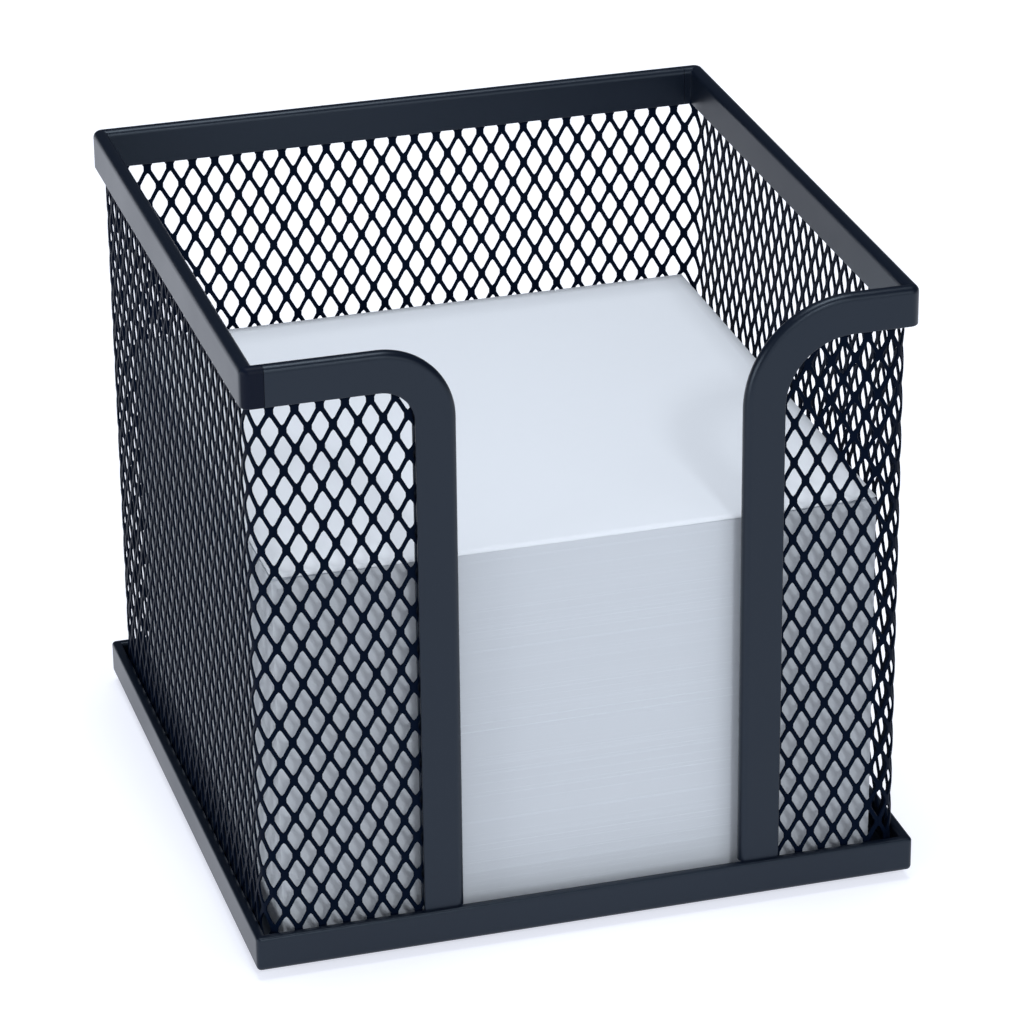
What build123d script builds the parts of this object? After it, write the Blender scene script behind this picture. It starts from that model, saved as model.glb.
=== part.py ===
from build123d import *
from math import hypot, pi
import os

# Loose notes: a square block of sheets that the box is made round
note_width = 90.0
note_depth = 90.0
note_height = 58.4
sheet_thickness = 0.1
note_clearance = 2.0  # from the notes to the inner face of the rim, all round

# Tray: a steel floor whose edges are folded up and hemmed
floor_thickness = 0.8
hem_height = 5.4  # from the tray's underside to the top of its folded edge
hem_thickness = 1.5
hem_fold_share = 0.5  # radius of the fold under the tray's edge, of the hem's thickness
hem_top_share = 0.25  # radius of the hem's own fold, of its thickness

# Feet: round pads under the tray's corners
foot_height = 1.5
foot_diameter = 8.0
foot_inset = 9.5  # from the tray's outer faces to each pad's centre
foot_sole_share = 0.9  # diameter of the pad's sole, of its diameter at the tray

# Walls: expanded mesh, bent at the four upright corners
box_height = 95.0  # from the table to the top of the rim
mesh_thickness = 0.8
mesh_bend_radius = 4.0
mesh_pitch_across = 8.6
mesh_pitch_up = 13.4
mesh_strand = 1.3
least_opening_share = 0.2  # smaller scraps of an opening at a border stay closed

# Rim: a folded channel that caps the mesh and turns down beside the cut-out
rim_width = 6.0
rim_sheet = 0.6
rim_clearance = 0.1  # between the mesh and each leg of the channel
rim_fold_share = 0.8  # bevel along the channel's folds, of its sheet
seam_past_corner = 1.1  # how far a rim wraps beyond a corner before its butt seam

# Cut-out for fingers in the front wall
gap_width = 42.0
gap_offset = 2.2  # from the middle of the front wall to the middle of the cut-out, to the right
left_turn_radius = 5.0  # on the mesh side of the rim, where it turns down
right_turn_radius = 10.0
widest_turn_share = 0.9  # most that a turn takes of the clear mesh beside its post

overrun = 2.0  # how far cuts run past what they cut

# Levels above the table
floor_top = foot_height + floor_thickness
hem_top = foot_height + hem_height
rim_bottom = box_height - rim_width
mesh_height = box_height - rim_sheet - floor_top

# Plan sizes, outwards from the notes
rim_reach = rim_sheet + rim_clearance
slot_width = mesh_thickness + 2 * rim_clearance
rim_depth = slot_width + 2 * rim_sheet
mesh_width = note_width + 2 * (note_clearance + rim_reach + mesh_thickness)
mesh_depth = note_depth + 2 * (note_clearance + rim_reach + mesh_thickness)
tray_width = mesh_width + 2 * hem_thickness
tray_depth = mesh_depth + 2 * hem_thickness
rim_outer_x = mesh_width / 2 + rim_reach
rim_outer_y = mesh_depth / 2 + rim_reach
wall_mid_x = mesh_width / 2 - mesh_thickness / 2
wall_mid_y = mesh_depth / 2 - mesh_thickness / 2
bend_x = mesh_width / 2 - mesh_bend_radius
bend_y = mesh_depth / 2 - mesh_bend_radius
seam_reach = rim_depth + seam_past_corner

os.makedirs("parts", exist_ok=True)


def write_piece(piece, name):
    piece.part.label = name
    export_step(piece.part, f"parts/{name}.step")


def opening_share(pitch_across, pitch_up):
    # How much of a mesh cell is left open once its strands have their width
    cell_inradius = pitch_across * pitch_up / (2 * hypot(pitch_across, pitch_up))
    return 1 - mesh_strand / 2 / cell_inradius


def diamond(pitch_across, pitch_up):
    share = opening_share(pitch_across, pitch_up)
    half_across = share * pitch_across / 2
    half_up = share * pitch_up / 2
    Polygon((half_across, 0), (0, half_up), (-half_across, 0), (0, -half_up))


def mesh_openings(clear_width, clear_height, turn_side=0, turn_radius=0):
    # Staggered diamonds over a clear area whose upper corner on one side may be round,
    # with a whole number of cells each way and the outer diamonds cut by its border
    columns = max(1, round(clear_width / mesh_pitch_across))
    rows = max(1, round(clear_height / mesh_pitch_up))
    pitch_across = clear_width / columns
    pitch_up = clear_height / rows
    with BuildSketch() as clear_area:
        Rectangle(clear_width, clear_height)
        if turn_radius:
            upper_corners = clear_area.vertices().group_by(Axis.Y)[-1].sort_by(Axis.X)
            fillet(upper_corners[-1 if turn_side > 0 else 0], turn_radius)
    with BuildSketch() as diamonds:
        with GridLocations(pitch_across, pitch_up, columns, rows):
            diamond(pitch_across, pitch_up)
        with GridLocations(pitch_across, pitch_up, columns + 1, rows + 1):
            diamond(pitch_across, pitch_up)
        add(clear_area.sketch, mode=Mode.INTERSECT)
    whole_area = opening_share(pitch_across, pitch_up) ** 2 * pitch_across * pitch_up / 2
    return [face for face in diamonds.sketch.faces() if face.area > least_opening_share * whole_area]


def front_panel(side, turn_radius):
    # Beside the cut-out: how far its edge is from the middle of the wall, the clear width of mesh
    # between the post and the bend, and the radius of the rim's turn, limited by that width
    gap_edge = gap_width / 2 + side * gap_offset
    clear_width = bend_x - mesh_strand / 2 - gap_edge - rim_width
    return gap_edge, clear_width, min(turn_radius, widest_turn_share * clear_width)


def wall_plane(x, y, inward):
    # Upright plane on a wall's outer face, facing inwards, with its origin on the tray's floor
    return Plane(origin=(x, y, floor_top), x_dir=Vector(0, 0, 1).cross(Vector(inward)), z_dir=inward)


def rim_plane(path):
    # Plane across a rim's path at its start, with the channel's web uppermost
    along = path.line % 0
    return Plane(origin=path.line @ 0, x_dir=Vector(0, 0, 1).cross(along), z_dir=along)


def channel_section(section):
    # Channel with its web on top at local Y zero and its two legs reaching down
    with Locations((0, -rim_width / 2)):
        Rectangle(rim_depth, rim_width)
    chamfer(section.vertices().group_by(Axis.Y)[-1], rim_fold_share * rim_sheet)
    with Locations((0, -(rim_width + rim_sheet) / 2)):
        Rectangle(slot_width, rim_width - rim_sheet, mode=Mode.SUBTRACT)


# Base tray
with BuildPart() as base_tray:
    with BuildSketch(Plane.XY.offset(foot_height)):
        Rectangle(tray_width, tray_depth)
    extrude(amount=hem_height)
    fillet(base_tray.faces().sort_by(Axis.Z)[0].edges(), hem_fold_share * hem_thickness)
    with BuildSketch(Plane.XY.offset(floor_top)):
        Rectangle(mesh_width, mesh_depth)
    extrude(amount=hem_height + overrun, mode=Mode.SUBTRACT)
    fillet(base_tray.faces().sort_by(Axis.Z)[-1].edges(), hem_top_share * hem_thickness)
write_piece(base_tray, "base_tray")

# Feet
corners = {"front_left": (-1, -1), "front_right": (1, -1), "rear_left": (-1, 1), "rear_right": (1, 1)}
for corner, (side_x, side_y) in corners.items():
    with BuildPart() as foot:
        with Locations((side_x * (tray_width / 2 - foot_inset), side_y * (tray_depth / 2 - foot_inset))):
            Cone(foot_sole_share * foot_diameter / 2, foot_diameter / 2, foot_height,
                 align=(Align.CENTER, Align.CENTER, Align.MIN))
    write_piece(foot, f"{corner}_foot")

# Flat mesh of the rear and side walls
clear_height = rim_bottom - hem_top
clear_middle = hem_top - floor_top + clear_height / 2
walls = {
    "rear_mesh": (wall_plane(0, mesh_depth / 2, (0, -1, 0)), 2 * bend_x),
    "left_mesh": (wall_plane(-mesh_width / 2, 0, (1, 0, 0)), 2 * bend_y),
    "right_mesh": (wall_plane(mesh_width / 2, 0, (-1, 0, 0)), 2 * bend_y),
}
for name, (plane, flat_width) in walls.items():
    openings = mesh_openings(flat_width - mesh_strand, clear_height)
    with BuildPart() as wall_mesh:
        with BuildSketch(plane):
            with Locations((0, mesh_height / 2)):
                Rectangle(flat_width, mesh_height)
            with Locations((0, clear_middle)):
                add(openings, mode=Mode.SUBTRACT)
        extrude(amount=mesh_thickness)
    write_piece(wall_mesh, name)

# Flat mesh beside the cut-out, its upper corner round inside the turned rim
front_plane = wall_plane(0, -mesh_depth / 2, (0, 1, 0))
front_meshes = {"front_left_mesh": (-1, left_turn_radius), "front_right_mesh": (1, right_turn_radius)}
for name, (side, wanted_radius) in front_meshes.items():
    gap_edge, clear_width, turn_radius = front_panel(side, wanted_radius)
    mesh_edge = gap_edge + rim_sheet
    post_edge = gap_edge + rim_width
    flat_width = bend_x - mesh_edge
    local_side = -side  # seen from inside, left and right change places
    openings = mesh_openings(clear_width, clear_height, side, turn_radius)
    with BuildPart() as front_mesh:
        with BuildSketch(front_plane) as front_outline:
            with Locations((local_side * (mesh_edge + flat_width / 2), mesh_height / 2)):
                Rectangle(flat_width, mesh_height)
            upper_corners = front_outline.vertices().group_by(Axis.Y)[-1].sort_by(Axis.X)
            fillet(upper_corners[0 if local_side > 0 else -1], turn_radius + rim_width - rim_sheet)
            with Locations((local_side * (post_edge + clear_width / 2), clear_middle)):
                add(openings, mode=Mode.SUBTRACT)
        extrude(amount=mesh_thickness)
    write_piece(front_mesh, name)

# Bends of the mesh at the upright corners, from the floor to the underside of the rim
bend_rows = max(1, round(clear_height / mesh_pitch_up))
bend_pitch_across = (mesh_bend_radius - mesh_thickness / 2) * pi / 2
bend_pitch_up = clear_height / bend_rows
for corner, (side_x, side_y) in corners.items():
    with BuildPart() as mesh_bend:
        with BuildSketch(Plane.XY.offset(floor_top)):
            with Locations((side_x * bend_x, side_y * bend_y)):
                Circle(mesh_bend_radius)
                Circle(mesh_bend_radius - mesh_thickness, mode=Mode.SUBTRACT)
            with Locations((side_x * mesh_width / 2, side_y * mesh_depth / 2)):
                Rectangle(2 * mesh_bend_radius, 2 * mesh_bend_radius, mode=Mode.INTERSECT)
        extrude(amount=rim_bottom - floor_top)
        across = Plane(
            origin=(side_x * bend_x, side_y * bend_y, hem_top + clear_height / 2),
            x_dir=(-side_y, side_x, 0),
            z_dir=(side_x, side_y, 0),
        )
        with BuildSketch(across):
            with GridLocations(bend_pitch_across, bend_pitch_up, 1, bend_rows):
                diamond(bend_pitch_across, bend_pitch_up)
        extrude(amount=mesh_bend_radius + overrun, mode=Mode.SUBTRACT)
    write_piece(mesh_bend, f"{corner}_mesh_bend")

# Rims round the top: mitred at two corners, wrapped past the other two to a butt seam
rear_left_mitre = Plane(origin=(-rim_outer_x, rim_outer_y, 0), z_dir=(1, 1, 0))
front_right_mitre = Plane(origin=(rim_outer_x, -rim_outer_y, 0), z_dir=(1, 1, 0))
top_rims = {
    "left_rim": (
        [
            (-wall_mid_x, rim_outer_y),
            (-wall_mid_x, -wall_mid_y),
            (seam_reach - rim_outer_x, -wall_mid_y),
        ],
        rear_left_mitre,
        Keep.BOTTOM,
    ),
    "rear_rim": (
        [(-rim_outer_x, wall_mid_y), (rim_outer_x - seam_reach, wall_mid_y)],
        rear_left_mitre,
        Keep.TOP,
    ),
    "right_rim": (
        [
            (wall_mid_x, -rim_outer_y),
            (wall_mid_x, wall_mid_y),
            (rim_outer_x - seam_reach, wall_mid_y),
        ],
        front_right_mitre,
        Keep.TOP,
    ),
}
for name, (points, mitre, side_kept) in top_rims.items():
    with BuildPart() as top_rim:
        with BuildLine(Plane.XY.offset(box_height)) as path:
            Polyline(*points)
        with BuildSketch(rim_plane(path)) as section:
            channel_section(section)
        sweep(transition=Transition.RIGHT)
        split(bisect_by=mitre, keep=side_kept)
    write_piece(top_rim, name)

# Front rims: along the top, round the corner of the cut-out and down to the tray's hem
front_rims = {
    "front_left_rim": (-1, seam_reach - rim_outer_x, left_turn_radius),
    "front_right_rim": (1, rim_outer_x, right_turn_radius),
}
for name, (side, outer_end, wanted_radius) in front_rims.items():
    gap_edge, clear_width, turn_radius = front_panel(side, wanted_radius)
    with BuildPart() as front_rim:
        with BuildLine(Plane.XZ.offset(wall_mid_y)) as path:
            FilletPolyline(
                (outer_end, box_height),
                (side * gap_edge, box_height),
                (side * gap_edge, hem_top),
                radius=turn_radius + rim_width,
            )
        with BuildSketch(rim_plane(path)) as section:
            channel_section(section)
        sweep()
        if side > 0:
            split(bisect_by=front_right_mitre, keep=Keep.BOTTOM)
    write_piece(front_rim, name)

# Notes: the block on the tray's floor and the loose sheet on top of it
with BuildPart() as note_stack:
    with BuildSketch(Plane.XY.offset(floor_top)):
        Rectangle(note_width, note_depth)
    extrude(amount=note_height)
write_piece(note_stack, "note_stack")

with BuildPart() as top_sheet:
    with BuildSketch(Plane.XY.offset(floor_top + note_height)):
        Rectangle(note_width, note_depth)
    extrude(amount=sheet_thickness)
write_piece(top_sheet, "top_sheet")
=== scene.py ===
import bpy
import numpy as np
from mathutils import Matrix, Vector


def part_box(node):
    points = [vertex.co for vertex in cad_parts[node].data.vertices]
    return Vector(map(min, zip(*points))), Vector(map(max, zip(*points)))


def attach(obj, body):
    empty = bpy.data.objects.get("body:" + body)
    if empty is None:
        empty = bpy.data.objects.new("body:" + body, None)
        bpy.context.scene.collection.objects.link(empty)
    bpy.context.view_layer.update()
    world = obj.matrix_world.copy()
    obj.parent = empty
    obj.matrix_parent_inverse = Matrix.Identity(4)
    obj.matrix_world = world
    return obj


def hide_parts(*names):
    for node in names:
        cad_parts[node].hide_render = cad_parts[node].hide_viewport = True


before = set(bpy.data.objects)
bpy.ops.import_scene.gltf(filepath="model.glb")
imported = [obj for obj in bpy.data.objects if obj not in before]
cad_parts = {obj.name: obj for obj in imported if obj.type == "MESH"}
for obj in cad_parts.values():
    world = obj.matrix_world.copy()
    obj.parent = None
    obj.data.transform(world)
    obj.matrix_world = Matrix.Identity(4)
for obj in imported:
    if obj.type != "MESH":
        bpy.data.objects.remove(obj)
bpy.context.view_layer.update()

mm = 0.001


def boxOf(node):
    # a CAD node's lowest and highest corner, as arrays
    low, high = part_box(node)
    return np.array(low), np.array(high)


# sizes read from the CAD nodes, in metres
trayLow, trayHigh = boxOf("base_tray")
leftRimLow, leftRimHigh = boxOf("left_rim")
rearRimLow, rearRimHigh = boxOf("rear_rim")
rearMeshLow, rearMeshHigh = boxOf("rear_mesh")
notesLow, notesHigh = boxOf("note_stack")
sheetLow, sheetHigh = boxOf("top_sheet")
rimTop = leftRimHigh[2]
rimWidth = leftRimHigh[2] - leftRimLow[2]
rimDepth = rearRimHigh[1] - rearRimLow[1]
rimMid = -leftRimLow[0] - rimDepth / 2  # from the box's middle to the middle of a rim
wrapEnd = leftRimHigh[0]  # where the left rim's wrap meets the front rim
gapLeft = boxOf("front_left_rim")[1][0]  # the two edges of the cut-out
gapRight = boxOf("front_right_rim")[0][0]
hemTop = trayHigh[2]
floorTop = notesLow[2]
meshMid = (rearMeshLow[1] + rearMeshHigh[1]) / 2
bendStart = rearMeshHigh[0]  # where the flat mesh ends and its bend starts
print("frame:", len(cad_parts), "nodes read")


# shader nodes


def plug(tree, socket, value):
    # links a signal to the socket, or sets a plain value on it
    if isinstance(value, Signal):
        tree.links.new(value.socket, socket)
    else:
        socket.default_value = value


class Signal:
    # a socket that takes part in sums: each operator adds one Math node
    def __init__(self, tree, socket):
        self.tree = tree
        self.socket = socket

    def math(self, operation, first, second):
        made = self.tree.nodes.new("ShaderNodeMath")
        made.operation = operation
        plug(self.tree, made.inputs[0], first)
        plug(self.tree, made.inputs[1], second)
        return Signal(self.tree, made.outputs[0])

    def __add__(self, other):
        return self.math("ADD", self, other)

    def __radd__(self, other):
        return self.math("ADD", other, self)

    def __sub__(self, other):
        return self.math("SUBTRACT", self, other)

    def __rsub__(self, other):
        return self.math("SUBTRACT", other, self)

    def __mul__(self, other):
        return self.math("MULTIPLY", self, other)

    def __rmul__(self, other):
        return self.math("MULTIPLY", other, self)


class Finish:
    # a material, or the world, being built node by node
    def __init__(self, owner):
        owner.use_nodes = True
        self.owner = owner
        self.tree = owner.node_tree
        self.tree.nodes.clear()

    def node(self, kind, settings={}, inputs={}, output=0):
        # any other node: its settings first, then the values or links of its sockets
        made = self.tree.nodes.new("ShaderNode" + kind)
        for key, value in settings.items():
            setattr(made, key, value)
        for key, value in inputs.items():
            plug(self.tree, made.inputs[key], value)
        if made.outputs:
            return Signal(self.tree, made.outputs[output])

    def place(self, scale=(1, 1, 1)):
        # object coordinates, stretched along the axes
        where = self.node("TexCoord", output="Object")
        return self.node("Mapping", inputs={"Vector": where, "Scale": scale})

    def noise(self, where, scale, detail):
        return self.node("TexNoise", inputs={"Vector": where, "Scale": scale, "Detail": detail})

    def blend(self, share, first, second):
        # from the first colour to the second, on the colour sockets of a Mix node
        sockets = {0: share, 6: first, 7: second}
        return self.node("Mix", {"data_type": "RGBA"}, sockets, output=2)

    def bump(self, height, strength, distance):
        sockets = {"Height": height, "Strength": strength, "Distance": distance}
        return self.node("Bump", inputs=sockets)

    def shader(self, **sockets):
        # an underscore stands for the space in a socket's name
        named = {key.replace("_", " "): value for key, value in sockets.items()}
        return self.node("BsdfPrincipled", inputs=named)

    def surface(self, shader):
        self.node("OutputMaterial", inputs={"Surface": shader})
        return self.owner


coatStyle = dict(
    drift=(55, 3.0),  # scale and detail of each noise
    peel=(1500, 1.0),
    grain=(5200, 0.0),
    peelShare=0.7,
    grainShare=0.3,
    relief=0.16,
    depth=0.015 * mm,
    glossDrift=0.10,
    shineTint=(0.74, 0.87, 1.0, 1),
    # the duller coat: nearly the same dark colour, rougher and much less shiny, so it reflects less and
    # looks darker
    dullCoatColour=(0.003, 0.006, 0.016, 1),
    dullCoatRoughness=0.45,
    dullCoatShine=0.10,
)


def powderCoat(name, deep, pale, roughness, shine):
    # satin powder coat: a fine orange peel in the bump, slow drifts of colour and gloss,
    # and a rougher, much less shiny coat of nearly the same dark colour where a point attribute marks
    # the mesh
    style = coatStyle
    finish = Finish(bpy.data.materials.new(name))
    where = finish.place()
    drift = finish.noise(where, *style["drift"])
    peel = finish.noise(where, *style["peel"])
    grain = finish.noise(where, *style["grain"])
    height = style["peelShare"] * peel + style["grainShare"] * grain
    skin = finish.bump(height, style["relief"], style["depth"])
    gloss = style["glossDrift"] * (drift - 0.5)  # up and down from the noise's middle value
    coat = finish.shader(
        Base_Color=finish.blend(drift, deep, pale),
        Roughness=roughness + gloss,
        Normal=skin,
        Specular_IOR_Level=shine,
        Specular_Tint=style["shineTint"],
    )
    dullCoat = finish.shader(
        Base_Color=style["dullCoatColour"],
        Roughness=style["dullCoatRoughness"] + gloss,
        Normal=skin,
        Specular_IOR_Level=style["dullCoatShine"],
    )
    # the rim's point attribute picks where the duller, less shiny coat goes
    dullCoatMask = finish.node("Attribute", {"attribute_name": "dullCoatMark"}, output="Fac")
    return finish.surface(finish.node("MixShader", inputs={0: dullCoatMask, 1: coat, 2: dullCoat}))


paperStyle = dict(
    cloud=(420, 4.0),  # scale and detail of each noise
    fibre=(2600, 2.0),
    layers=(1.0, 2.0),
    along=25,  # the layers' scale along the sheets
    cloudTint=0.5,  # shares of the colour
    layersTint=0.5,
    fibreRelief=0.4,  # shares of the bump's height
    layersRelief=0.6,
    roughness=0.82,
    roughnessDrift=0.12,
    relief=0.15,
    depth=0.03 * mm,
)


def notePaper(name, body, shade, lines):
    # uncoated paper: cloudy fibre in colour and bump, and on the block's sides faint lines
    # along the sheets, so many to a millimetre
    style = paperStyle
    finish = Finish(bpy.data.materials.new(name))
    where = finish.place()
    cloud = finish.noise(where, *style["cloud"])
    fibre = finish.noise(where, *style["fibre"])
    pressed = finish.place((style["along"], style["along"], lines / mm))
    layers = finish.noise(pressed, *style["layers"])
    tint = style["cloudTint"] * cloud + style["layersTint"] * layers
    height = style["fibreRelief"] * fibre + style["layersRelief"] * layers
    return finish.surface(finish.shader(
        Base_Color=finish.blend(tint, shade, body),
        Roughness=style["roughness"] + style["roughnessDrift"] * fibre,
        Normal=finish.bump(height, style["relief"], style["depth"]),
    ))


rubberStyle = dict(
    dust=(300, 3.0),  # scale and detail of each noise
    grain=(3800, 1.0),
    roughness=0.78,
    roughnessDrift=0.15,
    relief=0.4,
    depth=0.03 * mm,
)


def padRubber(name, deep, pale):
    # matt rubber with a dusty, grainy skin
    style = rubberStyle
    finish = Finish(bpy.data.materials.new(name))
    where = finish.place()
    dust = finish.noise(where, *style["dust"])
    grain = finish.noise(where, *style["grain"])
    return finish.surface(finish.shader(
        Base_Color=finish.blend(dust, deep, pale),
        Roughness=style["roughness"] + style["roughnessDrift"] * grain,
        Normal=finish.bump(grain, style["relief"], style["depth"]),
    ))


sheetCoat = powderCoat(
    "sheetCoat",
    deep=(0.0025, 0.005, 0.012, 1),
    pale=(0.0035, 0.007, 0.016, 1),
    roughness=0.34,
    shine=0.40,
)
meshCoat = powderCoat(
    "meshCoat",
    deep=(0.002, 0.005, 0.014, 1),
    pale=(0.003, 0.007, 0.019, 1),
    roughness=0.45,
    shine=0.02,
)
blockPaper = notePaper(
    "blockPaper",
    body=(0.83, 0.87, 0.915, 1),
    shade=(0.81, 0.85, 0.895, 1),
    lines=7.0,
)
sheetPaper = notePaper(
    "sheetPaper",
    body=(0.84, 0.87, 0.91, 1),
    shade=(0.82, 0.85, 0.89, 1),
    lines=0.1,
)
blackRubber = padRubber(
    "blackRubber",
    deep=(0.012, 0.012, 0.014, 1),
    pale=(0.03, 0.03, 0.033, 1),
)
print("finishes:", len(bpy.data.materials))


# meshes from whole arrays


def gridFaces(rows, cols, wrap):
    # quads between neighbouring rows and columns of a grid; wrap joins the last column to the first
    down = np.arange(rows - 1)[:, None] * cols
    here = np.arange(cols if wrap else cols - 1)[None, :]
    after = (here + 1) % cols
    corners = [down + here, down + after, down + cols + after, down + cols + here]
    return np.stack(corners, -1).reshape(-1, 4)


def tubeFaces(rows, cols):
    # quads round a row of closed rings, and one face over the first ring and one over the last
    ring = np.arange(cols)[None]
    return [gridFaces(rows, cols, True), ring[:, ::-1], ring + (rows - 1) * cols]


def raised(plan, height):
    # points in plan, each with its height
    return np.concatenate([plan, np.broadcast_to(height, plan.shape[:-1] + (1,))], -1)


def shellVolume(points, faces):
    # six times the signed volume between the faces and the origin, each face as a fan
    first = points[faces[:, :1]]
    spokes = np.cross(points[faces[:, 1:-1]], points[faces[:, 2:]])
    return (first * spokes).sum()


def addPiece(name, points, faceSets, finish, body, nodes, sharp=38, marks={}):
    # puts the arrays into a mesh with its faces outwards, hard edges where faces meet at more
    # than sharp degrees and marks as point attributes, and hangs it on its CAD body
    points = points.reshape(-1, 3)
    if sum(shellVolume(points, faces) for faces in faceSets) < 0:
        faceSets = [faces[:, ::-1] for faces in faceSets]
    corners = np.concatenate([faces.ravel() for faces in faceSets])
    sizes = np.concatenate([np.full(len(faces), faces.shape[1]) for faces in faceSets])
    mesh = bpy.data.meshes.new(name)
    mesh.vertices.add(len(points))
    mesh.vertices.foreach_set("co", points.ravel())
    mesh.loops.add(len(corners))
    mesh.loops.foreach_set("vertex_index", corners.astype(np.int32))
    mesh.polygons.add(len(sizes))
    mesh.polygons.foreach_set("loop_start", (np.cumsum(sizes) - sizes).astype(np.int32))
    mesh.polygons.foreach_set("use_smooth", np.ones(len(sizes), bool))
    mesh.update(calc_edges=True)
    mesh.set_sharp_from_angle(angle=np.radians(sharp))
    for mark, values in marks.items():
        made = mesh.attributes.new(mark, "FLOAT", "POINT")
        made.data.foreach_set("value", values.astype(np.float32).ravel())
    mesh.materials.append(finish)
    piece = bpy.data.objects.new(name, mesh)
    bpy.context.scene.collection.objects.link(piece)
    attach(piece, body)
    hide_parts(*nodes)
    return piece


def roundedLine(corners, radii, arcSteps, runSteps, closed, margin=0.02):
    # a line of right-angled corners, each turned into a quarter circle of its radius:
    # corner + r(a + b) - r(b cos t + a sin t), where a and b point to the corners before and after it,
    # with the straight runs between the arcs cut into runSteps, the first and last of them only
    # a margin of the run long, so that a flat side is shaded flat up to its rounding
    corners = np.array(corners, float)
    radii = np.array(radii, float)[:, None, None]
    back = np.roll(corners, 1, 0) - corners
    ahead = np.roll(corners, -1, 0) - corners
    if not closed:
        back[0], ahead[-1] = -ahead[0], -back[-1]
    back = (back / np.linalg.norm(back, axis=1, keepdims=True))[:, None]
    ahead = (ahead / np.linalg.norm(ahead, axis=1, keepdims=True))[:, None]
    turn = np.linspace(0, np.pi / 2, arcSteps)[None, :, None]
    arcs = corners[:, None] + radii * (back + ahead - ahead * np.cos(turn) - back * np.sin(turn))
    share = np.linspace(margin, 1 - margin, runSteps - 1)[None, :, None]
    runs = arcs[:, -1:] * (1 - share) + np.roll(arcs, -1, 0)[:, :1] * share
    line = np.concatenate([arcs, runs], 1)
    if closed:
        return line.reshape(-1, 2)
    inner = line[1:-1].reshape(-1, 2)
    return np.concatenate([corners[:1], runs[0], inner, corners[-1:]])


# expanded mesh: upright strands that swing left and right and are bonded to each neighbour in turn

meshStyle = dict(
    pitchAcross=3.56 * mm,
    pitchUp=6.02 * mm,
    strand=0.61 * mm,  # a strand's width where it is bonded
    thickness=0.31 * mm,
    bevel=0.07 * mm,
    bondHalf=0.74 * mm,  # from the middle of a bond to where its two strands part
    partedHalf=1.04 * mm,  # from the same middle to where the rounded fork ends
    forkReach=0.26 * mm,  # how far a strand has moved away by then
    sideHalf=0.34 * mm,  # half the upright side of an opening
    openingX=-36.2 * mm,  # middle of one opening in the front wall
    openingZ=51.8 * mm,
    leftEndX=gapLeft - rimWidth / 2,  # both ends of the strip are inside the posts
    rightEndX=gapRight + rimWidth / 2,
    lowEnd=3.0 * mm,  # behind the hem
    highEnd=90.0 * mm,  # inside the rim
    slack=1e-6 * mm,  # an edge this near to the bond line counts as bonded
    sharp=50,
)

bendRadius = meshMid - bendStart
sideRun = 2 * bendStart
bendRun = bendRadius * np.pi / 2
leftRun = meshStyle["leftEndX"] + bendStart
rightRun = bendStart - meshStyle["rightEndX"]
runLengths = np.array(
    [leftRun, bendRun, sideRun, bendRun, sideRun, bendRun, sideRun, bendRun, rightRun]
)
runStarts = np.concatenate([[0], np.cumsum(runLengths)])
runCurves = np.array([0, 1, 0, 1, 0, 1, 0, 1, 0]) / -bendRadius
runHeadings = np.pi + np.concatenate([[0], np.cumsum(runCurves * runLengths)[:-1]])


def stride(run, distance):
    # how far a run of constant curvature gets in the given distance: a chord along its mean heading
    heading = runHeadings[run] + runCurves[run] * distance / 2
    chord = distance * np.sinc(runCurves[run] * distance / (2 * np.pi))
    return chord[..., None] * np.stack([np.cos(heading), np.sin(heading)], -1)


runStrides = stride(np.arange(len(runLengths)), runLengths)
runFeet = np.array([meshStyle["leftEndX"], -meshMid]) + np.concatenate(
    [np.zeros((1, 2)), np.cumsum(runStrides, 0)]
)


def alongWall(distance, outward):
    # the strip's path, from the left post round the back to the right post: the foot of the run
    # that the distance falls in, plus the rest of the way, plus a step along the outward normal
    run = np.clip(np.searchsorted(runStarts, distance, side="right") - 1, 0, len(runLengths) - 1)
    rest = distance - runStarts[run]
    heading = runHeadings[run] + runCurves[run] * rest
    normal = np.stack([-np.sin(heading), np.cos(heading)], -1)
    return runFeet[run] + stride(run, rest) + outward[..., None] * normal


halfPitchUp = meshStyle["pitchUp"] / 2
firstBond = meshStyle["openingZ"] % meshStyle["pitchUp"] - 3 * halfPitchUp  # below the strip


def strandLevels():
    # the heights where one of a strand's two edges turns, between every bond and the next
    style = meshStyle
    turns = np.array([style["sideHalf"], style["bondHalf"], style["partedHalf"]])
    turns = np.concatenate([turns, halfPitchUp - turns[::-1]])
    bonds = firstBond + halfPitchUp * np.arange(int(style["highEnd"] / halfPitchUp) + 4)
    levels = (bonds[:, None] + turns).ravel()
    inside = levels[(levels > style["lowEnd"]) & (levels < style["highEnd"])]
    return np.concatenate([[style["lowEnd"]], inside, [style["highEnd"]]])


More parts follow.
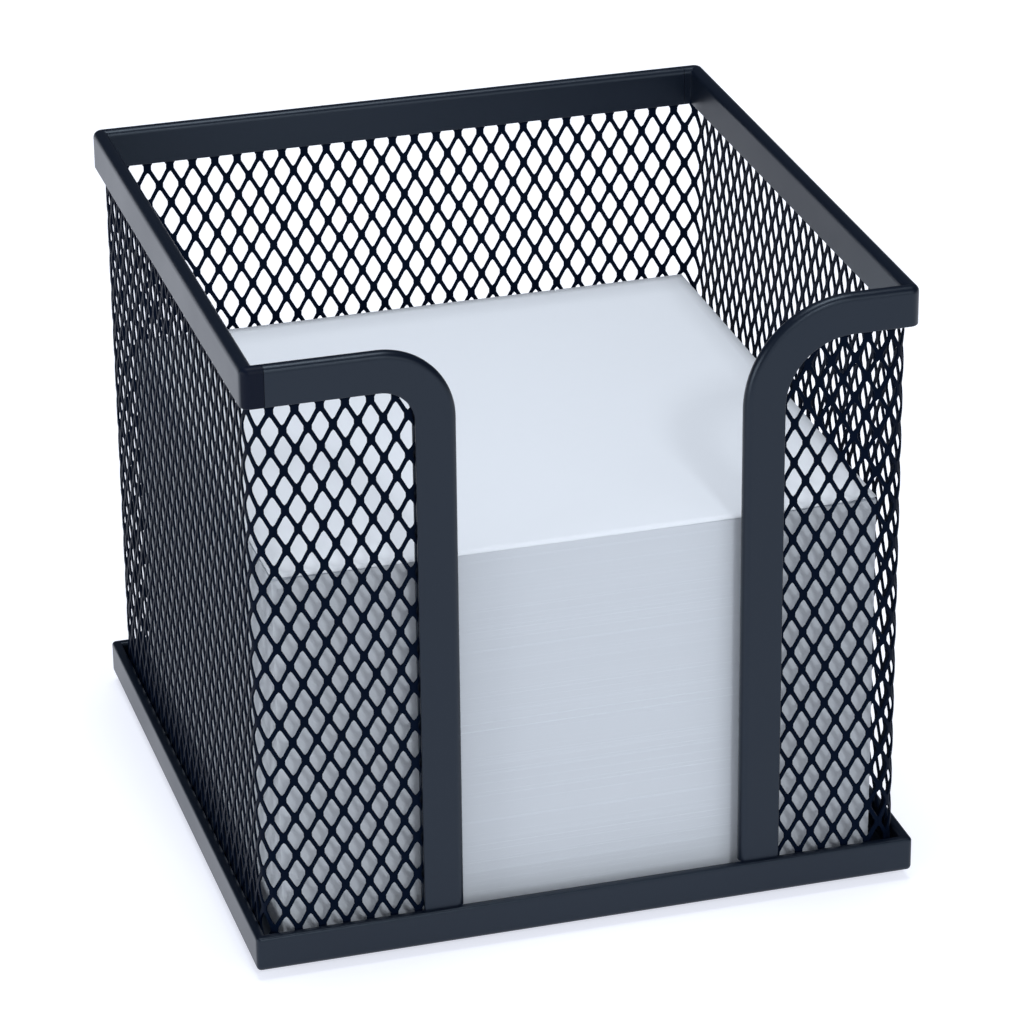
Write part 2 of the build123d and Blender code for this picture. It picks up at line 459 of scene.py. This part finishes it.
def strandPoints(middles, signs):
    # from a bond on its right to the next on its left, a strand's right edge runs up the bond, round the
    # fork, straight across and up the side of an opening; its left edge is the same line turned round,
    # the next half pitch mirrors both, and the section is a hexagon whose bevel closes on the bond
    style = meshStyle
    levels = strandLevels()
    count, rise = np.divmod(levels - firstBond, halfPitchUp)
    bondLine = style["pitchAcross"] / 4
    heights = [style["bondHalf"], style["partedHalf"], halfPitchUp - style["sideHalf"]]
    reaches = [bondLine, bondLine - style["forkReach"], style["strand"] - bondLine]
    rightEdge = np.interp(rise, heights, reaches)
    leftEdge = -np.interp(halfPitchUp - rise, heights, reaches)
    facing = signs[:, None] * (1 - 2 * (count % 2))
    left = np.where(facing > 0, leftEdge, -rightEdge)
    right = np.where(facing > 0, rightEdge, -leftEdge)
    bonded = bondLine - style["slack"]
    bevelLeft = np.where(left < -bonded, 0, style["bevel"])
    bevelRight = np.where(right > bonded, 0, style["bevel"])
    innerLeft, innerRight = left + bevelLeft, right - bevelRight
    across = np.stack([left, innerLeft, innerRight, right, innerRight, innerLeft], -1)
    outward = np.broadcast_to(np.array([0, 1, 1, 0, -1, -1]) * style["thickness"] / 2, across.shape)
    plan = alongWall(middles[:, None, None] + across, outward)
    return raised(plan, levels[None, :, None, None])


def addStrands(name, middles, signs, nodes):
    # one tube for each strand, its points numbered on from the strand before
    points = strandPoints(middles, signs)
    strands, rows, cols = points.shape[:3]
    firsts = (np.arange(strands) * rows * cols)[:, None, None]
    faceSets = [(firsts + faces).reshape(-1, faces.shape[1]) for faces in tubeFaces(rows, cols)]
    sharp = meshStyle["sharp"]
    return addPiece(name, points, faceSets, meshCoat, "box", nodes, sharp=sharp)


strandStep = meshStyle["pitchAcross"] / 2
openingAt = meshStyle["leftEndX"] - meshStyle["openingX"]
strandStart = (openingAt - strandStep / 2) % (2 * strandStep)
strandCount = int((runStarts[-1] - strandStart) / strandStep)
strandMiddles = strandStart + strandStep * np.arange(strandCount)
strandSigns = np.where(np.arange(strandCount) % 2 == 0, 1, -1)
strandPanels = {
    "front_left_strands": (0, 2, ["front_left_mesh", "front_left_mesh_bend"]),
    "left_strands": (2, 4, ["left_mesh", "rear_left_mesh_bend"]),
    "rear_strands": (4, 6, ["rear_mesh", "rear_right_mesh_bend"]),
    "right_strands": (6, 7, ["right_mesh"]),
    "front_right_strands": (7, 9, ["front_right_mesh", "front_right_mesh_bend"]),
}
for name, (firstRun, lastRun, nodes) in strandPanels.items():
    chosen = (strandMiddles >= runStarts[firstRun]) & (strandMiddles < runStarts[lastRun])
    addStrands(name, strandMiddles[chosen], strandSigns[chosen], nodes)
print("mesh:", strandCount, "strands")


# channel rim: a folded U carried along the top edge and down beside the cut-out

rimStyle = dict(
    sheet=0.6 * mm,
    fold=1.0 * mm,  # outside radius of the two folds
    innerFold=0.4 * mm,
    tip=0.22 * mm,
    arcSteps=6,
    runSteps=5,
    cornerRadius=1.5 * mm,  # outside radius in plan
    leastRadius=0.05 * mm,  # points further in than this follow the mitre
    cornerSteps=9,
    leftTurn=11 * mm,  # outside radius where the rim turns down
    rightTurn=16 * mm,
    turnSteps=25,
    postSteps=24,
    runUp=1.6 * mm,  # straight sections start this far from a corner
    step=3 * mm,  # and are about this far apart
    seamGap=0.06 * mm,
    dullCoatFacing=0.5,  # how far the left rim has to face the front to get the duller, less shiny coat
)

middleRadius = rimStyle["cornerRadius"] - rimDepth / 2
cornerFoot = rimMid - middleRadius


def channelSection():
    # U with its web at the top: across is measured outwards from its middle, up from its web
    style = rimStyle
    half, low, sheet = rimDepth / 2, -rimWidth, style["sheet"]
    corners = [(half, low), (half, 0), (-half, 0), (-half, low),
               (sheet - half, low), (sheet - half, -sheet), (half - sheet, -sheet), (half - sheet, low)]
    tip, fold, inner = style["tip"], style["fold"], style["innerFold"]
    radii = [tip, fold, fold, tip, tip, inner, inner, tip]
    return roundedLine(corners, radii, style["arcSteps"], style["runSteps"], True)


def stations(foot, normal, mitre, crown):
    # the rows of a path: a foot, the way outwards, the way along the mitre and the way up
    foot, normal, mitre, crown = np.broadcast_arrays(foot, normal, mitre, crown)
    return np.stack([foot, normal, mitre, crown], 1)


def cornerStations(sideX, sideY, start, end):
    # a quarter circle in plan, from the wall that faces along x, at 0,
    # to the one that faces along y, at 1
    turn = np.linspace(start, end, rimStyle["cornerSteps"])[:, None] * np.pi / 2
    normal = np.cos(turn) * np.array([sideX, 0, 0]) + np.sin(turn) * np.array([0, sideY, 0])
    foot = np.array([sideX * cornerFoot, sideY * cornerFoot, rimTop])
    return stations(foot, normal, np.array([sideX, sideY, 0.0]), np.array([0, 0, 1.0]))


def wallStations(normal, start, end):
    # a straight run along a wall
    normal = np.array([*normal, 0.0])
    along = np.array([abs(normal[1]), abs(normal[0]), 0])
    places = np.linspace(start, end, max(2, int(abs(end - start) / rimStyle["step"])))[:, None]
    foot = normal * cornerFoot + along * places + np.array([0, 0, rimTop])
    return stations(foot, normal, normal, np.array([0, 0, 1.0]))


def turnStations(side, gapEdge, radius):
    # a quarter circle in the front wall that turns the rim downwards, then the post down to the hem
    normal = np.array([0, -1.0, 0])
    middle = np.array([gapEdge + side * radius, -cornerFoot, rimTop - radius])
    turn = np.linspace(0, np.pi / 2, rimStyle["turnSteps"])[:, None]
    crown = np.cos(turn) * np.array([0, 0, 1.0]) + np.sin(turn) * np.array([-side, 0, 0])
    post = np.linspace(middle[2], hemTop, rimStyle["postSteps"])[1:, None]
    postFoot = np.array([gapEdge, -cornerFoot, 0]) + post * np.array([0, 0, 1.0])
    return np.concatenate([
        stations(middle + radius * crown, normal, normal, crown),
        stations(postFoot, normal, normal, np.array([-side, 0, 0.0])),
    ])


def carryChannel(path):
    # each station steps outwards from its foot by the section's distance; where a corner is too tight
    # for a circle, the inner points stay on the mitre instead
    section = channelSection()
    foot, normal, mitre, crown = (path[:, None, k] for k in range(4))
    reach = middleRadius + section[None, :, :1]
    least = rimStyle["leastRadius"]
    across = normal * np.maximum(reach, least) + mitre * np.minimum(reach - least, 0)
    return foot + across + crown * section[None, :, 1:]


def addRim(name, node, path, dullCoatMark=None):
    # the channel as a tube along its path, with one value of the duller-coat mark for each station
    points = carryChannel(path)
    rows, cols = points.shape[:2]
    faceSets = tubeFaces(rows, cols)
    marks = {} if dullCoatMark is None else {"dullCoatMark": np.repeat(dullCoatMark, cols)}
    return addPiece(name, points, faceSets, sheetCoat, "box", [node], marks=marks)


wallEnd = cornerFoot - rimStyle["runUp"] + middleRadius
seam = rimStyle["seamGap"] / 2
leftPath = np.concatenate([
    cornerStations(-1, 1, 0.5, 0),
    wallStations((-1, 0), wallEnd, -wallEnd),
    cornerStations(-1, -1, 0, 1),
    wallStations((0, -1), -wallEnd, wrapEnd - seam),
])
rearPath = np.concatenate([
    cornerStations(-1, 1, 0.5, 1),
    wallStations((0, 1), -wallEnd, -wrapEnd - seam),
])
rightPath = np.concatenate([
    wallStations((0, 1), -wrapEnd + seam, wallEnd),
    cornerStations(1, 1, 1, 0),
    wallStations((1, 0), wallEnd, -wallEnd),
    cornerStations(1, -1, 0, 0.5),
])
frontLeftPath = np.concatenate([
    wallStations((0, -1), wrapEnd + seam, gapLeft - rimStyle["leftTurn"]),
    turnStations(-1, gapLeft, rimStyle["leftTurn"])[1:],
])
frontRightPath = np.concatenate([
    cornerStations(1, -1, 0.5, 1),
    wallStations((0, -1), wallEnd, gapRight + rimStyle["rightTurn"]),
    turnStations(1, gapRight, rimStyle["rightTurn"])[1:],
])
# where the left rim wraps round to face the front it gets the duller, less shiny coat, which makes it
# look darker
wrapped = leftPath[:, 1, 1] < -rimStyle["dullCoatFacing"]
addRim("left_rim_channel", "left_rim", leftPath, dullCoatMark=wrapped)
addRim("rear_rim_channel", "rear_rim", rearPath)
addRim("right_rim_channel", "right_rim", rightPath)
addRim("front_left_rim_channel", "front_left_rim", frontLeftPath)
addRim("front_right_rim_channel", "front_right_rim", frontRightPath)
print("rim: 5 channels")


# tray: floor and folded hem, one section carried round a square

trayStyle = dict(
    hem=1.5 * mm,
    underFold=0.75 * mm,
    topFold=0.5 * mm,
    innerFold=0.3 * mm,
    floorReach=7 * mm,  # from the hem's outer face to where the flat floor is closed
    arcSteps=7,
    runSteps=4,
    corner=0.7 * mm,  # radius of the upright edges
    leastRadius=0.05 * mm,
    cornerSteps=7,
    runUp=0.8 * mm,  # the straight sides have a section this far from each corner
)


def traySection():
    # from the floor's top over the hem to its underside: inwards is negative
    style = trayStyle
    corners = [(-style["floorReach"], floorTop), (-style["hem"], floorTop), (-style["hem"], hemTop),
               (0, hemTop), (0, trayLow[2]), (-style["floorReach"], trayLow[2])]
    radii = [0, style["innerFold"], style["topFold"], style["topFold"], style["underFold"], 0]
    return roundedLine(corners, radii, style["arcSteps"], style["runSteps"], False)


def addTray():
    # the section goes round four straight sides and four quarter corners; inner points stay on the mitre
    style = trayStyle
    section = traySection()
    turn = np.concatenate([[0], np.linspace(0, np.pi / 2, style["cornerSteps"]), [np.pi / 2]])
    slide = np.concatenate([[-1], np.zeros(style["cornerSteps"]), [1]])
    slide = np.tile(style["runUp"] * slide, 4)[:, None]
    starts = np.arange(4) * np.pi / 2  # which way the side before each corner faces
    quarter = (starts[:, None] + turn).ravel()
    normal = np.stack([np.cos(quarter), np.sin(quarter)], -1)
    tangent = np.stack([-np.sin(quarter), np.cos(quarter)], -1)
    diagonal = np.repeat(starts + np.pi / 4, len(turn))
    mitre = np.sqrt(2) * np.stack([np.cos(diagonal), np.sin(diagonal)], -1)
    foot = mitre * (trayHigh[0] - style["corner"]) + slide * tangent
    reach = style["corner"] + section[:, None, :1]
    least = style["leastRadius"]
    plan = foot + normal * np.maximum(reach, least) + mitre * np.minimum(reach - least, 0)
    points = raised(plan, section[:, None, 1:])
    faceSets = tubeFaces(*points.shape[:2])
    return addPiece("folded_tray", points, faceSets, sheetCoat, "box", ["base_tray"])


addTray()
print("tray: folded")


# feet: round pads turned from one profile

padStyle = dict(
    soleShare=0.9,  # the sole's radius, as a share of the pad's
    edge=0.45 * mm,  # rounding of the sole
    edgeSteps=6,
    turns=40,
)


def addPad(node):
    # the profile's radius and height, carried round the pad's middle: a rounded sole, then a cone
    style = padStyle
    padLow, padHigh = boxOf(node)
    padMiddle = (padLow + padHigh) / 2
    padRadius = (padHigh[0] - padLow[0]) / 2
    bend = np.linspace(-np.pi / 2, 0, style["edgeSteps"])
    soleReach = style["soleShare"] * padRadius - style["edge"] * (1 - np.cos(bend))
    reach = np.concatenate([soleReach, [padRadius]])[:, None, None]
    height = np.concatenate([style["edge"] * (1 + np.sin(bend)), [padHigh[2]]])[:, None, None]
    turn = np.linspace(0, 2 * np.pi, style["turns"], endpoint=False)
    plan = padMiddle[:2] + reach * np.stack([np.cos(turn), np.sin(turn)], -1)
    points = raised(plan, height)
    faceSets = tubeFaces(*points.shape[:2])
    name = node.replace("foot", "pad")
    return addPiece(name, points, faceSets, blackRubber, "box", [node])


for node in ("front_left_foot", "front_right_foot", "rear_left_foot", "rear_right_foot"):
    addPad(node)
print("feet: 4 pads")


# notes: a block of sheets, each pair with its own small shift, and one loose sheet on top

noteStyle = dict(
    layer=0.2 * mm,
    inset=0.15 * mm,  # keeps the shifted sheets inside the block's box
    drift=0.08 * mm,
    jitter=0.002 * mm,
    looseShare=0.02,
    looseShift=0.005 * mm,
    corner=0.2 * mm,
    arcSteps=3,
    runSteps=4,
    seed=11,
)


def layerShifts(count):
    # a slow random walk, a small jitter, and a few layers that stand out
    style = noteStyle
    rng = np.random.default_rng(style["seed"])
    walk = np.cumsum(rng.normal(size=(count, 2)), 0)
    walk = walk - np.linspace(0, 1, count)[:, None] * walk[-1]
    walk = style["drift"] * walk / np.abs(walk).max()
    jitter = style["jitter"] * rng.normal(size=(count, 2))
    loose = (rng.random((count, 1)) < style["looseShare"]) * style["looseShift"]
    shifts = walk + jitter + loose * rng.normal(size=(count, 2))
    return np.clip(shifts, -style["inset"], style["inset"])


def addBlock():
    # every layer is the same rounded square, shifted, with a ring at its foot and one at its top
    style = noteStyle
    count = int(round((notesHigh[2] - notesLow[2]) / style["layer"]))
    half = notesHigh[0] - style["inset"]
    square = [(-half, -half), (half, -half), (half, half), (-half, half)]
    outline = roundedLine(square, [style["corner"]] * 4, style["arcSteps"], style["runSteps"], True)
    shifts = np.repeat(layerShifts(count), 2, 0)
    edges = np.linspace(notesLow[2], notesHigh[2], count + 1)
    levels = np.stack([edges[:-1], edges[1:]], 1).ravel()
    points = raised(outline[None] + shifts[:, None], levels[:, None, None])
    faceSets = tubeFaces(*points.shape[:2])
    return addPiece("note_block", points, faceSets, blockPaper, "notes", ["note_stack"])


sheetStyle = dict(
    steps=49,
    curl=0.35 * mm,  # lift at the front corners
    curlPower=4,
    rearShare=0.4,  # how much of the curl is left at the rear
    ripple=0.06 * mm,
    waves=(2.1, 1.3),  # radians from the middle to an edge, across and along
)


def addTopSheet():
    # a square grid that lies flat in the middle and lifts towards its sides by a power of the way out,
    # more at the front than at the rear, with one low slanting ripple
    style = sheetStyle
    half = sheetHigh[0] - noteStyle["inset"]
    share = np.linspace(-1, 1, style["steps"])
    acrossShare, alongShare = np.meshgrid(share, share)
    frontShare = style["rearShare"] + (1 - style["rearShare"]) * (1 - alongShare) / 2
    lift = style["curl"] * np.abs(acrossShare) ** style["curlPower"] * frontShare
    slant = style["waves"][0] * acrossShare + style["waves"][1] * alongShare
    ripple = style["ripple"] * (1 + np.sin(slant))
    points = np.stack([half * acrossShare, half * alongShare, sheetLow[2] + lift + ripple], -1)
    faceSets = [gridFaces(style["steps"], style["steps"], False)]
    piece = addPiece(
        "loose_sheet", points, faceSets, sheetPaper, "top_note", ["top_sheet"]
    )
    thick = piece.modifiers.new("sheet", "SOLIDIFY")
    thick.thickness = sheetHigh[2] - sheetLow[2]
    thick.offset = 1
    return piece


addBlock()
addTopSheet()
print("notes: block and loose sheet")


# floor, light and camera

floorStyle = dict(
    half=3.0,
    colour=(0.62, 0.63, 0.64, 1),
    roughness=0.9,
    glow=(0.88, 0.90, 1.0, 1),
    power=0.68,
)
floorCorners = floorStyle["half"] * np.array([(-1, -1, 0), (1, -1, 0), (1, 1, 0), (-1, 1, 0)])
floorMesh = bpy.data.meshes.new("studio_floor")
floorMesh.from_pydata(floorCorners.tolist(), [], [(0, 1, 2, 3)])
floorFinish = Finish(bpy.data.materials.new("paleFloor"))
floorMesh.materials.append(floorFinish.surface(floorFinish.shader(
    Base_Color=floorStyle["colour"],
    Roughness=floorStyle["roughness"],
    Emission_Color=floorStyle["glow"],
    Emission_Strength=floorStyle["power"],
)))
floor = bpy.data.objects.new("studio_floor", floorMesh)
floor.visible_diffuse = False  # the even light of the world stands in for what it would throw up
bpy.context.scene.collection.objects.link(floor)

lightColour = (0.93, 0.97, 1.02)
lightAim = Vector((0, 0, 0.05))
studioLights = {
    "overhead": dict(place=(0, 0.05, 1.2), size=(0.6, 0.6), power=7.6),
    "front": dict(place=(0.16, -1.15, 0.42), size=(1.3, 0.45), power=3.15),
    "spot": dict(place=(0.05, -1.02, 0.76), size=(0.12, 0.12), power=2.5),
    "left": dict(place=(-1.18, -0.25, 0.26), size=(0.9, 0.4), power=5.4),
}
for name, style in studioLights.items():
    lamp = bpy.data.lights.new(name, "AREA")
    lamp.shape = "RECTANGLE"
    lamp.size, lamp.size_y = style["size"]
    lamp.energy = style["power"]
    lamp.color = lightColour
    holder = bpy.data.objects.new(name, lamp)
    holder.location = style["place"]
    holder.rotation_euler = (lightAim - Vector(style["place"])).to_track_quat("-Z", "Y").to_euler()
    bpy.context.scene.collection.objects.link(holder)

worldStyle = dict(
    above=(0.21, 0.225, 0.255, 1),  # what matt surfaces get from above and from below
    below=(0.44, 0.46, 0.51, 1),
    mirrored=(0.06, 0.07, 0.09, 1),  # what glossy ones mirror
    shown=(1, 1, 1, 1),  # what the camera sees
)
world = bpy.data.worlds.new("studio")
bpy.context.scene.world = world
sky = Finish(world)
seen = sky.node("LightPath", output="Is Camera Ray")
spread = sky.node("LightPath", output="Is Diffuse Ray")
upward = sky.node("SeparateXYZ", inputs={0: sky.node("TexCoord", output="Generated")}, output="Z")
even = sky.blend(0.5 + 0.5 * upward, worldStyle["below"], worldStyle["above"])
cast = sky.blend(spread, worldStyle["mirrored"], even)
backdrop = sky.node("Background", inputs={"Color": sky.blend(seen, cast, worldStyle["shown"])})
sky.node("OutputWorld", inputs={"Surface": backdrop})

cameraStyle = dict(
    azimuth=-16.15,  # degrees
    elevation=25.07,
    roll=0.59,
    distance=706.1 * mm,
    target=(3.12 * mm, 0, 44.64 * mm),
    lens=163.7,
    sensor=36.0,
)
azimuth, elevation, roll = np.radians([cameraStyle[k] for k in ("azimuth", "elevation", "roll")])
level = np.cos(elevation)
back = Vector((np.sin(azimuth) * level, -np.cos(azimuth) * level, np.sin(elevation)))
eye = Vector(cameraStyle["target"]) + back * cameraStyle["distance"]
upright = (-back).to_track_quat("-Z", "Y").to_matrix()
rolled = upright @ Matrix.Rotation(-roll, 3, "Z")
camera = bpy.data.objects.new("camera", bpy.data.cameras.new("camera"))
camera.data.lens = cameraStyle["lens"]
camera.data.sensor_width = cameraStyle["sensor"]
camera.matrix_world = Matrix.Translation(eye) @ rolled.to_4x4()
bpy.context.scene.collection.objects.link(camera)
bpy.context.scene.camera = camera
bpy.context.scene.view_settings.view_transform = "Standard"
print("stage: floor,", len(studioLights), "lights and camera")
